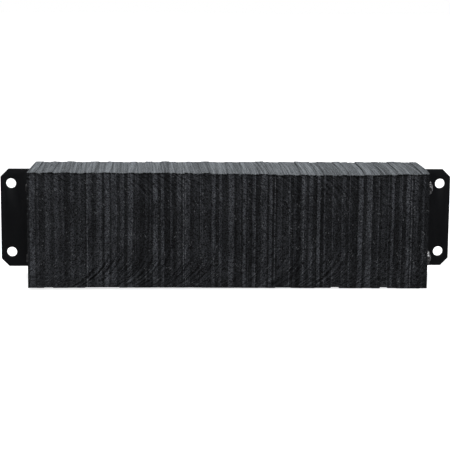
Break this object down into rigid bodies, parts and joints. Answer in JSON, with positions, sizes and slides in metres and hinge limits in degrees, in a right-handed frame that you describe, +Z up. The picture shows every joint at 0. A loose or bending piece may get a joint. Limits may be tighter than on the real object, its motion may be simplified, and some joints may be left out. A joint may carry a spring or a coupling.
{
  "type": "laminated rubber bumper",
  "caption": "Wall-mounted laminated rubber bumper: upright rubber pads clamped on tie rods between two steel angles that bolt to a wall.",
  "frame": {"origin": "on the wall plane, halfway along the rubber block and halfway up it, at the back face of the middle pad", "axes": "+X along the stack of pads, +Y into the wall, +Z up; the struck face looks along -Y"},
  "size_m": [1.082, 0.152, 0.266],
  "materials": {
    "pad_rubber": "matt, sawn recycled tyre rubber with fabric plies",
    "black_paint": "smooth semi-gloss black paint on rolled steel",
    "rod_steel": "dark mill steel, threaded at one end",
    "nut_steel": "dark oiled steel",
    "weld_paint": "weld bead under black paint"
  },
  "bodies": {
    "root": {"pad_01": "pad_rubber", "pad_02": "pad_rubber", "pad_03": "pad_rubber", "pad_04": "pad_rubber", "pad_05": "pad_rubber", "pad_06": "pad_rubber", "pad_07": "pad_rubber", "pad_08": "pad_rubber", "pad_09": "pad_rubber", "pad_10": "pad_rubber", "pad_11": "pad_rubber", "pad_12": "pad_rubber", "pad_13": "pad_rubber", "pad_14": "pad_rubber", "pad_15": "pad_rubber", "pad_16": "pad_rubber", "pad_17": "pad_rubber", "pad_18": "pad_rubber", "pad_19": "pad_rubber", "pad_20": "pad_rubber", "pad_21": "pad_rubber", "pad_22": "pad_rubber", "pad_23": "pad_rubber", "pad_24": "pad_rubber", "pad_25": "pad_rubber", "pad_26": "pad_rubber", "pad_27": "pad_rubber", "pad_28": "pad_rubber", "pad_29": "pad_rubber", "pad_30": "pad_rubber", "pad_31": "pad_rubber", "pad_32": "pad_rubber", "pad_33": "pad_rubber", "pad_34": "pad_rubber", "pad_35": "pad_rubber", "pad_36": "pad_rubber", "pad_37": "pad_rubber", "pad_38": "pad_rubber", "pad_39": "pad_rubber", "pad_40": "pad_rubber", "pad_41": "pad_rubber", "pad_42": "pad_rubber", "pad_43": "pad_rubber", "pad_44": "pad_rubber", "pad_45": "pad_rubber", "pad_46": "pad_rubber", "pad_47": "pad_rubber", "pad_48": "pad_rubber", "pad_49": "pad_rubber", "angle_left": "black_paint", "angle_right": "black_paint", "tie_rod_upper": "rod_steel", "tie_rod_lower": "rod_steel", "nut_upper": "nut_steel", "nut_lower": "nut_steel", "weld_upper": "weld_paint", "weld_lower": "weld_paint"}
  },
  "joints": []
}
